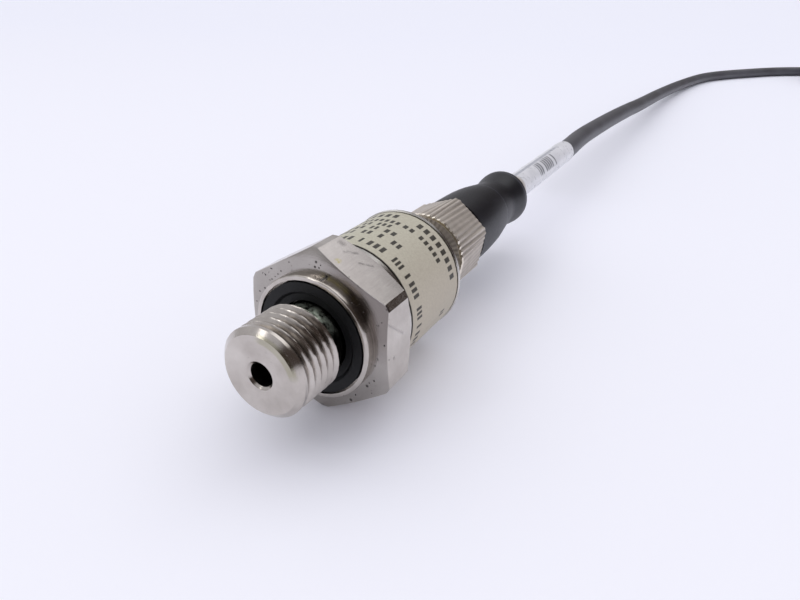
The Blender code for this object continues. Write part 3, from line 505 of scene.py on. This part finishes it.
floor_mesh = bpy.data.meshes.new("table")
half = FLOOR_SIZE / 2
floor_corners = [(-half, -half, 0), (half, -half, 0), (half, half, 0), (-half, half, 0)]
floor_mesh.from_pydata(floor_corners, [], [(0, 1, 2, 3)])
floor_mesh.materials.append(floor_finish())
floor = bpy.data.objects.new("table", floor_mesh)
bpy.context.scene.collection.objects.link(floor)

world = bpy.data.worlds.new("tent")
world.use_nodes = True
bpy.context.scene.world = world
tent_tree = world.node_tree
background = tent_tree.nodes["Background"]
background.inputs["Strength"].default_value = 1.0
way = Wire(tent_tree, tent_tree.nodes.new("ShaderNodeTexCoord").outputs["Generated"])
glossy = Wire(tent_tree, tent_tree.nodes.new("ShaderNodeLightPath").outputs["Is Glossy Ray"])
# The wall and the ceiling are set in parts of a unit direction: to the right and upwards.
to_right, _, upwards = way.split()
wall_height = to_right.step(0.05, 0.5) * 0.32 + 0.52
wall = upwards.step(0.0, 0.05) * (wall_height - upwards).step(-0.12, 0.12)
wall = wall * to_right.step(-0.55, -0.05)
ceiling = upwards.step(0.86, 0.96)
seen = wall.mix(ceiling.mix(TENT_MIRRORED, CEILING_MIRRORED), WALL_MIRRORED)
tent_tree.links.new(glossy.mix(TENT_COLOUR, seen).socket, background.inputs["Color"])


def sun_light(name, heading, height, strength, spread):
    """A wide soft light from one side: heading from +Y towards +X, height above the floor."""
    lamp = bpy.data.lights.new(name, "SUN")
    lamp.energy, lamp.angle = strength, math.radians(spread)
    item = bpy.data.objects.new(name, lamp)
    item.rotation_euler = (math.radians(height - 90), 0.0, math.radians(-heading))
    bpy.context.scene.collection.objects.link(item)


def area_light(name, place_at, look_at, size, power):
    """A square soft light at one place, turned to another."""
    lamp = bpy.data.lights.new(name, "AREA")
    lamp.size, lamp.energy = size, power
    item = bpy.data.objects.new(name, lamp)
    item.location = place_at
    way = np.array(look_at) - np.array(place_at)
    pitch = math.atan2(math.hypot(way[0], way[1]), -way[2])
    item.rotation_euler = (pitch, 0.0, math.atan2(-way[0], way[1]))
    bpy.context.scene.collection.objects.link(item)


sun_light("sky_behind", heading=15, height=62, strength=0.42, spread=50)
sun_light("sky_left", heading=-80, height=55, strength=0.42, spread=50)
WINDOW_PLACE, WINDOW_AIM = (-0.32, -0.44, 0.58), (0.0, -0.03, 0.01)
area_light("window", WINDOW_PLACE, WINDOW_AIM, size=0.15, power=0.22)


# Pressure port: one stainless bar, turned to a stud, an undercut and a collar, and milled to a
# hexagon for the spanner. It is used metal, with pits, stains and the paste of an old seal.
def axis_coordinates(where):
    """Station along the axis, angle from the top towards +X, and distance from the axis."""
    x, y, z = where.split()
    z = z - AXIS_Z
    radius = (x * x + z * z).maths("SQRT")
    return y - FRONT_Y, x.maths("ARCTAN2", z), radius


def turned_lines(station, angle, radius):
    """Fine tool lines round the axis: noise of distance and station, hardly of the angle."""
    return (radius * 9000.0).vector(station * 9000.0, angle * 2.5).noise(1.0, 3.0, 0.6)


# Marks seen on the port, in millimetres. Pits on the hexagon's front face and on the collar are
# given by place beside and above the axis and by radius, the rest by place on one flat.
FACE_PITS = (
    (0.61, 11.09, 0.24),
    (0.38, 10.32, 0.24),
    (1.04, 10.31, 0.17),
    (1.32, 10.75, 0.14),
    (-3.99, 10.12, 0.14),
    (-8.82, 5.06, 0.20),
    (-9.84, 4.34, 0.18),
    (-9.55, 3.30, 0.12),
    (-10.65, 2.52, 0.15),
    (5.26, -9.58, 0.34),
    (8.07, -6.21, 0.30),
    (8.45, -5.60, 0.16),
    (9.24, -4.98, 0.22),
    (9.45, -2.46, 0.17),
    (9.85, -1.20, 0.13),
    (-7.72, 6.57, 0.14),
    (-7.33, 6.81, 0.17),
    (-6.70, 7.35, 0.13),
    (-6.14, 7.85, 0.15),
    (-5.55, 8.44, 0.16),
    (2.20, 9.35, 0.34),
)
UPPER_SMUDGES = (((16.0, -3.6), (17.6, -2.3), 0.35), ((16.2, -0.9), (17.6, 0.5), 0.30))
UPPER_BLOT = ((17.2, -4.9), (0.8, 0.9))
UPPER_STAIN = ((13.6, -2.84), (0.75, 0.6))
SIDE_STREAK = ((12.6, 4.3), (16.6, 1.1), 0.3)
SIDE_DENT = ((14.12, -1.58), (0.3, 0.3))

# Where the port's surfaces lie: stations, radii and the turn of the upper flat.
THREAD_FRONT, THREAD_REAR = 1.4 * MM, 9.0 * MM
UNDERCUT_FRONT, UNDERCUT_REAR = 8.6 * MM, 12.6 * MM
FACE_FRONT, FACE_REAR = 12.0 * MM, 13.1 * MM
FLATS_FRONT, FLATS_REAR = 12.2 * MM, 19.1 * MM
FLATS_DISTANCE = 11.30 * MM
UPPER_FLAT = math.radians(30)
SIXTH_TURN = math.radians(60)


def metres(pair):
    """Two millimetre lengths in metres."""
    return tuple(length * MM for length in pair)


def port_finish_nodes():
    """Steel with pits, dried stains, smudges and the greenish residue of a sealing paste."""
    material, shader, where = new_finish("port_steel", 0.24, 1.0)
    station, angle, radius = axis_coordinates(where)
    x, _, z = where.split()
    up = z - AXIS_Z
    lines = turned_lines(station, angle, radius)
    drawn = (x * 5200.0).vector(up * 5200.0, station * 260.0).noise(1.0, 3.0, 0.6)
    on_flats = station.between(FLATS_FRONT, FLATS_REAR, 0.2 * MM)
    flat_turn = ((angle / SIXTH_TURN).maths("FRACT") - 0.5) * SIXTH_TURN
    from_axis = radius * flat_turn.maths("COSINE")
    on_flats = on_flats * from_axis.step(FLATS_DISTANCE, FLATS_DISTANCE + 0.08 * MM)
    lines = on_flats * drawn + (1 - on_flats) * lines
    cloud = where.noise(240.0, 4.0, 0.6).step(0.3, 0.72)

    # Pits on the hexagon's front face and nicks on the thread.
    on_face = station.between(11.0 * MM, 12.6 * MM, 0.15 * MM) * radius.step(9.0 * MM, 9.2 * MM)
    pits = where.noise(1700.0, 2.0).step(0.70, 0.74)
    pits = pits * station.between(11.6 * MM, 12.9 * MM, 0.1 * MM)
    for place_x, place_up, size in FACE_PITS:
        pit = x.spot(up, metres((place_x, place_up)), metres((size, size))) * on_face
        pits = pits.maths("MAXIMUM", pit)
    nicks = where.noise(3800.0, 2.0).step(0.72, 0.75) * station.step(9.0 * MM, 8.5 * MM) * 0.7
    dark_marks = pits.maths("MAXIMUM", nicks)

    # Grey smudges on the upper flat, a streak and a dent on the flat at the right.
    over = x * math.cos(UPPER_FLAT) - up * math.sin(UPPER_FLAT)
    on_upper = angle.between(math.radians(5), math.radians(55), 0.02) * on_flats
    smudge = station.spot(over, *map(metres, UPPER_BLOT)) * 0.6
    for begin, end, width in UPPER_SMUDGES:
        line = station.stroke(over, metres(begin), metres(end), width * MM)
        smudge = smudge.maths("MAXIMUM", line)
    smudge = smudge * on_upper * where.noise(1400.0, 3.0).step(0.3, 0.6) * 0.55
    begin, end, width = SIDE_STREAK
    streak = station.stroke(up, metres(begin), metres(end), width * MM) * 0.3
    dent = station.spot(up, *map(metres, SIDE_DENT)) * 0.5
    on_side_flat = angle.step(math.radians(65), math.radians(68)) * on_flats
    smudge = smudge.maths("MAXIMUM", streak.maths("MAXIMUM", dent) * on_side_flat)

    # Yellowish stains, painted shade in the undercut and the thread grooves, and the paste of an
    # old seal.
    stain = station.spot(over, *map(metres, UPPER_STAIN)) * on_upper
    ring = station.between(12.05 * MM, 12.35 * MM, 0.15 * MM) * angle.between(0.25, 0.75, 0.15)
    ring = ring * radius.between(9.3 * MM, 9.9 * MM, 0.2 * MM)
    stain = stain.maths("MAXIMUM", ring * 0.45) * where.noise(1800.0, 3.0).step(0.3, 0.7)
    rim_tint = radius.between(5.0 * MM, 5.9 * MM, 0.25 * MM) * station.step(0.6 * MM, 0.4 * MM)
    rim_tint = rim_tint * angle.between(0.15, 1.25, 0.2) * 0.45
    root = station.between(UNDERCUT_FRONT, UNDERCUT_REAR, 0.3 * MM)
    root = root * radius.step(6.6 * MM, 6.4 * MM)
    groove = station.between(THREAD_FRONT, THREAD_REAR, 0.2 * MM)
    groove = groove * radius.step(6.15 * MM, 5.80 * MM)
    paste = root * station.step(11.2 * MM, 9.6 * MM) * angle.between(-0.35, 0.75, 0.5)
    last_crest = station.between(8.2 * MM, 9.0 * MM, 0.3 * MM) * radius.step(6.0 * MM, 6.3 * MM)
    last_crest = last_crest * angle.between(-0.4, 1.3, 0.4) * 0.8
    paste = paste.maths("MAXIMUM", last_crest) * where.noise(800.0, 4.0, 0.65).step(0.38, 0.62)

    # Tone: clouded steel, the light the photograph has on the face and the flat, then the marks.
    colour = cloud.mix(rgb(182, 175, 168), rgb(208, 202, 195))
    front_face = station.between(FACE_FRONT, FACE_REAR, 0.3 * MM)
    front_face = front_face * radius.step(9.3 * MM, 9.6 * MM) * (1 - on_flats)
    colour = (front_face * 0.55).mix(colour, rgb(150, 146, 142))
    shaded_side = front_face * angle.between(math.radians(28), math.radians(80), math.radians(22))
    colour = (shaded_side * 0.6).mix(colour, rgb(98, 88, 84))
    on_upper_flat = on_flats * angle.between(math.radians(3), math.radians(57), 0.02)
    colour = (on_upper_flat * 0.3).mix(colour, rgb(140, 137, 144))
    colour = stain.mix(colour, rgb(168, 160, 96))
    colour = rim_tint.mix(colour, rgb(150, 148, 112))
    colour = smudge.mix(colour, rgb(96, 92, 96))
    # Painted shade: the thread grooves are darkened, and the undercut more so.
    colour = (groove * 0.8).mix(colour, rgb(78, 70, 66))
    colour = root.mix(colour, rgb(60, 58, 54))
    colour = paste.mix(colour, rgb(186, 196, 178))
    colour = dark_marks.mix(colour, rgb(30, 25, 24))
    feed(
        shader,
        Base_Color=colour,
        Metallic=(1 - paste * 0.7) * (1 - dark_marks * 0.8),
        Roughness=(lines * 0.16 + 0.10) + cloud * 0.05 + (paste + dark_marks + smudge) * 0.3,
        Normal=bumped(lines * 0.5 - dark_marks * 1.5 + paste * 0.8, 0.35, 0.00004),
    )
    return material


port_finish = port_finish_nodes()
dress("pressure_port", port_finish, MILLED_SMOOTHING)


# Process thread: G 1/4, cut into the port's stud, its crests worn a little. The solid has a plain
# core there, and this surface is fitted over it.
THREAD_PITCH = 1.337 * MM


def thread_grid(start, end, inner, root, crest, pitch, lead, fade_in, fade_out, columns, per_pitch):
    """root + (crest - root) ridge fade worn, with a rounded ridge that climbs one pitch a turn."""
    rows = int((end - start) / pitch * per_pitch)
    station = np.linspace(start, end, rows)[:, None]
    angle = np.linspace(0, math.tau, columns, endpoint=False)[None, :]
    phase = ((station - lead) / pitch - angle / math.tau) % 1.0
    ridge = np.clip(np.abs(2 * phase - 1) * 1.14 - 0.07, 0, 1)
    ridge = 0.7 * ridge + 0.3 * ridge * ridge * (3 - 2 * ridge)
    height = eased(station, *fade_in) * (1 - eased(station, *fade_out))
    worn = 1 - 0.03 * np.sin(7 * angle + 3100 * station) * np.sin(23 * angle + 900 * station)
    radius = root + (crest - root) * ridge * height * worn
    y = np.repeat(station, columns, 1)
    wall = np.full((1, columns), inner)
    radius = np.vstack([wall, radius, wall])
    y = np.vstack([y[:1], y, y[-1:]]) + FRONT_Y
    return np.stack([radius * np.sin(angle), y, AXIS_Z + radius * np.cos(angle)], axis=-1)


place(
    "process_thread",
    grid_mesh(
        "process_thread",
        thread_grid(
            start=1.2 * MM,
            end=8.95 * MM,
            inner=5.5 * MM,
            root=5.78 * MM,
            crest=6.58 * MM,
            pitch=THREAD_PITCH,
            lead=2.43 * MM - THREAD_PITCH * 33 / 360,
            fade_in=(1.6 * MM, 2.3 * MM),
            fade_out=(8.4 * MM, 8.9 * MM),
            columns=180,
            per_pitch=20,
        ),
        closed_rows=True,
    ),
    "sensor",
    "stainless_steel",
    port_finish,
)


# Profile seal: a moulded black rubber ring, pressed into the recess of the collar. The same rubber
# makes the small rings inside.
def rubber_finish(name, colour, dusty, roughness):
    """Matte rubber with a little dust and a fine uneven skin."""
    material, shader, where = new_finish(name, roughness, Specular_IOR_Level=0.35)
    dust = where.noise(700.0, 4.0, 0.6).step(0.45, 0.8)
    skin = where.noise(3500.0, 3.0)
    feed(
        shader,
        Base_Color=dust.mix(colour, dusty),
        Roughness=skin * 0.2 + (roughness - 0.1),
        Normal=bumped(skin, 0.2, 0.00005),
    )
    return material


seal_finish = rubber_finish("seal_rubber", rgb(9, 9, 11), rgb(19, 19, 21), 0.55)
for node in ("port_seal", "cell_ring", "plug_ring", "face_seal"):
    dress(node, seal_finish)


# Housing: a thin stainless tube, turned bright and welded on behind the hexagon, with a raised
# rim at its rear. The ring that holds the cell is of the same steel.
def steel_finish(name, colour, dark, roughness):
    """Turned steel: fine lines round the axis in its tone, gloss and surface, and soft clouds."""
    material, shader, where = new_finish(name, roughness, 1.0)
    lines = turned_lines(*axis_coordinates(where))
    cloud = where.noise(260.0, 4.0).step(0.3, 0.75)
    feed(
        shader,
        Base_Color=cloud.mix(dark, colour),
        Roughness=(lines * 0.2 + (roughness - 0.1)) + cloud * 0.05,
        Normal=bumped(lines, 0.22, 0.00003),
    )
    return material


housing_finish = steel_finish("housing_steel", rgb(214, 212, 208), rgb(188, 184, 178), 0.24)
dress("housing_tube", housing_finish)
dress("cell_retainer", housing_finish)


# Weld bead: a narrow smooth seam of melted steel, a little browned by the heat, that joins the
# hexagon to the housing tube all round.
BEAD_FRONT, BEAD_REAR = 18.95 * MM, 19.55 * MM
BEAD_FOOT, BEAD_RISE, BEAD_INNER = 10.36 * MM, 0.14 * MM, 9.9 * MM
BEAD_POINTS = 9
bead_station = np.linspace(BEAD_FRONT, BEAD_REAR, BEAD_POINTS)
bead_arch = np.sin(np.linspace(0, math.pi, BEAD_POINTS)) ** 0.5
bead_radius = BEAD_FOOT + BEAD_RISE * bead_arch
bead_profile = np.stack([bead_station, bead_radius], axis=1)
bead_profile = np.vstack([bead_profile, [[BEAD_REAR, BEAD_INNER], [BEAD_FRONT, BEAD_INNER]]])


def turned_grid(profile, columns):
    """A profile of stations and radii turned round the axis."""
    angle = np.linspace(0, math.tau, columns, endpoint=False)[None, :]
    station, radius = profile[:, :1], profile[:, 1:]
    y = FRONT_Y + np.repeat(station, columns, 1)
    return np.stack([radius * np.sin(angle), y, AXIS_Z + radius * np.cos(angle)], axis=-1)


place(
    "weld_bead",
    grid_mesh("weld_bead", turned_grid(bead_profile, 128), closed_rows=True),
    "sensor",
    "stainless_steel",
    steel_finish("weld_steel", rgb(186, 178, 168), rgb(150, 138, 124), 0.34),
)


# Type label: a beige plastic film, stuck round the housing in front of the rim. Its lines of print
# are rows of plain blocks: lower and upper station in millimetres, first and last angle in
# degrees, and number of blocks.
PRINT_ROWS = (
    (22.6, 24.3, -34, -3, 5),
    (22.6, 24.3, 2, 6, 1),
    (22.6, 24.3, 9.5, 28, 3),
    (22.6, 24.3, 35, 47, 3),
    (22.6, 24.3, 51.5, 56, 1),
    (22.6, 24.3, 58.5, 74, 3),
    (22.6, 24.3, 80, 92, 3),
    (22.6, 24.3, 96, 100, 1),
    (22.6, 24.3, 103, 120, 3),
    (25.9, 27.4, -30, -13, 3),
    (25.9, 27.4, -7, 4, 2),
    (25.9, 27.4, 9, 15, 1),
    (25.9, 27.4, 22, 33, 2),
    (28.1, 29.5, -28, -10, 3),
    (28.1, 29.5, -6, 3, 2),
    (28.1, 29.5, 8, 21, 2),
    (30.0, 31.3, -20, -9, 2),
    (30.0, 31.3, -5, 10, 3),
    (31.8, 33.1, -30, 13, 8),
    (31.8, 33.1, 15, 28, 2),
    (31.8, 33.1, 32, 62, 5),
    (34.1, 35.7, -42, 5, 6),
    (34.1, 35.7, 22, 83, 8),
    (31.4, 33.0, 105, 112, 2),
)


def type_label_finish():
    """Fine-grained film, darker towards its right side as painted shade, with a thin black front
    line and the rows of dark blocks.
    """
    material, shader, where = new_finish("type_label_film", 0.5, Specular_IOR_Level=0.4)
    station, angle, radius = axis_coordinates(where)
    grain = where.noise(2600.0, 4.0, 0.7)
    # Painted shade: the film goes from lighter at the top to darker at its right side, with a
    # random tone over it.
    tone = angle.step(math.radians(70), math.radians(-10)) + where.noise(120.0, 2.0) * 0.5
    body = tone.step(0.2, 1.2).mix(rgb(186, 177, 160), rgb(192, 190, 170))
    speckled = grain.step(0.2, 0.6).mix(rgb(172, 163, 146), body)
    ink = station.step(21.42 * MM, 21.34 * MM)
    soft = 0.06 * MM
    for low, high, first, last, count in PRINT_ROWS:
        begin, end = math.radians(first), math.radians(last)
        cell = (angle - begin) * (count / (end - begin))
        row = station.between((low + 0.1) * MM, (high - 0.1) * MM, soft)
        word = angle.between(begin, end, 0.004)
        blocks = cell.maths("FRACT").between(0.12, 0.66, 0.05)
        ink = ink.maths("MAXIMUM", row * word * blocks)
    worn = (grain * 0.4 + 0.72) * ink
    feed(
        shader,
        Base_Color=worn.maths("MINIMUM", 0.96).mix(speckled, rgb(34, 29, 25)),
        Roughness=grain * 0.25 + 0.35,
        Normal=bumped(grain, 0.25, 0.00004),
    )
    return material


dress("type_label", type_label_finish())


# Plug: a turned brass shell with a worn nickel plate and an M12 thread, its flange seated in the
# housing's rear. Its thread shows between the housing and the nut.
def plated_finish(name, colour, dark, roughness, metallic=1.0):
    """Plated metal with warm clouds and a fine grain."""
    material, shader, where = new_finish(name, roughness, metallic)
    cloud = where.noise(420.0, 4.0, 0.6).step(0.3, 0.75)
    grain = where.noise(4200.0, 3.0)
    feed(
        shader,
        Base_Color=cloud.mix(dark, colour),
        Roughness=grain * 0.18 + (roughness - 0.09),
        Normal=bumped(grain, 0.18, 0.00004),
    )
    return material


shell_finish = plated_finish("plug_nickel", rgb(138, 124, 92), rgb(88, 76, 54), 0.4, 0.8)
dress("plug_shell", shell_finish)
place(
    "plug_thread",
    grid_mesh(
        "plug_thread",
        thread_grid(
            start=38.2 * MM,
            end=50.5 * MM,
            inner=5.3 * MM,
            root=5.48 * MM,
            crest=5.86 * MM,
            pitch=1.0 * MM,
            lead=38.6 * MM,
            fade_in=(38.3 * MM, 39.2 * MM),
            fade_out=(49.8 * MM, 50.4 * MM),
            columns=120,
            per_pitch=14,
        ),
        closed_rows=True,
    ),
    "sensor",
    "nickel_plate",
    shell_finish,
)


# Coupling nut: die-cast zinc with a satin nickel plate, nearly round in front and a rounded hexagon
# behind, with fine ribs for the fingers. It turns on the socket and draws it on to the plug.
NUT_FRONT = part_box("coupling_nut")[0][1] - FRONT_Y
NUT_CORNER_TURN = math.radians(11)
NUT_RIBS = 48.0


def ribbed_nut_finish():
    """Warm satin nickel, with painted shade between the ribs and painted highlight on them, and
    bright on the front edge.
    """
    material, shader, where = new_finish("nut_nickel", 0.44)
    station, angle, radius = axis_coordinates(where)
    cloud = where.noise(420.0, 4.0, 0.6).step(0.3, 0.75)
    grain = where.noise(4200.0, 3.0)
    rib = (angle * NUT_RIBS).maths("COSINE") * 0.5 + 0.5
    at_corner = ((angle - NUT_CORNER_TURN) * 6.0).maths("COSINE") * 0.35 + 0.65
    edge = station.step(NUT_FRONT + 0.45 * MM, NUT_FRONT + 0.15 * MM)
    edge = edge * radius.step(7.0 * MM, 7.3 * MM)
    colour = cloud.mix(rgb(176, 167, 156), rgb(198, 189, 179))
    # Painted shade in the grooves between the ribs and painted highlight on their crests, strongest
    # towards the hexagon's corners.
    colour = (rib.step(0.55, 0.0) * at_corner * 0.55).mix(colour, rgb(118, 108, 98))
    colour = (rib.step(0.6, 1.0) * at_corner * 0.5).mix(colour, rgb(222, 214, 204))
    colour = edge.mix(colour, rgb(236, 228, 214))
    feed(
        shader,
        Base_Color=colour,
        Metallic=edge * 0.4 + 0.5,
        Roughness=grain * 0.18 + 0.36 - edge * 0.2,
        Normal=bumped(grain, 0.18, 0.00004),
    )
    return material


nut_finish = ribbed_nut_finish()
dress("coupling_nut", nut_finish, RIBBED_SMOOTHING)


# Grip: soft black plastic, moulded in one piece round the cable's end and the socket insert, with
# a domed shoulder, a waist and a flared rim.
SHOULDER_RING = 72.35 * MM
RIM_RING = 83.8 * MM


def grip_moulding_finish():
    """Black moulding with a satin skin, a fine ring at the shoulder, and painted highlights on the
    shoulder's edge and on the rim ring.
    """
    material, shader, where = new_finish("grip_moulding", 0.42, Specular_IOR_Level=0.45)
    station = axis_coordinates(where)[0]
    skin = where.noise(3500.0, 3.0)
    dust = where.noise(500.0, 4.0, 0.6).step(0.5, 0.85)
    groove = station.between(SHOULDER_RING, SHOULDER_RING + 0.12 * MM, 0.1 * MM)
    lit_edge = station.between(SHOULDER_RING - 0.3 * MM, SHOULDER_RING - 0.15 * MM, 0.1 * MM)
    lip = station.between(RIM_RING, RIM_RING + 0.25 * MM, 0.25 * MM)
    colour = dust.mix(rgb(21, 21, 27), rgb(31, 32, 40))
    # Painted highlight on the edge in front of the shoulder ring and on the rim ring.
    colour = (lit_edge * 0.5 + lip * 0.45).mix(colour, rgb(96, 98, 108))
    colour = groove.mix(colour, rgb(5, 5, 6))
    feed(
        shader,
        Base_Color=colour,
        Roughness=skin * 0.2 + 0.32,
        Normal=bumped(skin * 0.25 - groove + lip * 0.6, 0.4, 0.00008),
    )
    return material


grip_finish = grip_moulding_finish()
dress("grip_body", grip_finish)


# Inner pieces, which a closed sensor hides: gold-plated contacts, moulded carriers and holder,
# laminate boards with their parts, and the white ceramic cell with its diaphragm.
gold_finish = plated_finish("gold_contacts", rgb(222, 184, 106), rgb(196, 156, 82), 0.3)
for number in (1, 2, 3, 4):
    for node in ("contact_pin", "socket_contact", "cell_pin"):
        dress(f"{node}_{number}", gold_finish)
insulator_finish = rubber_finish("insulator_plastic", rgb(30, 30, 32), rgb(44, 44, 46), 0.45)
for node in ("pin_carrier", "socket_carrier", "board_holder", "board_spacer"):
    dress(node, insulator_finish)
chip_finish = rubber_finish("component_moulding", rgb(26, 26, 28), rgb(36, 36, 38), 0.5)
for node in ("signal_chip", "supply_regulator", "board_link"):
    dress(node, chip_finish)
board_finish = rubber_finish("board_laminate", rgb(34, 92, 58), rgb(48, 112, 74), 0.4)
for node in ("cell_board", "plug_board"):
    dress(node, board_finish)
ceramic_finish = rubber_finish("cell_ceramic", rgb(228, 226, 218), rgb(236, 234, 228), 0.45)
for node in ("ceramic_cell", "diaphragm"):
    dress(node, ceramic_finish)
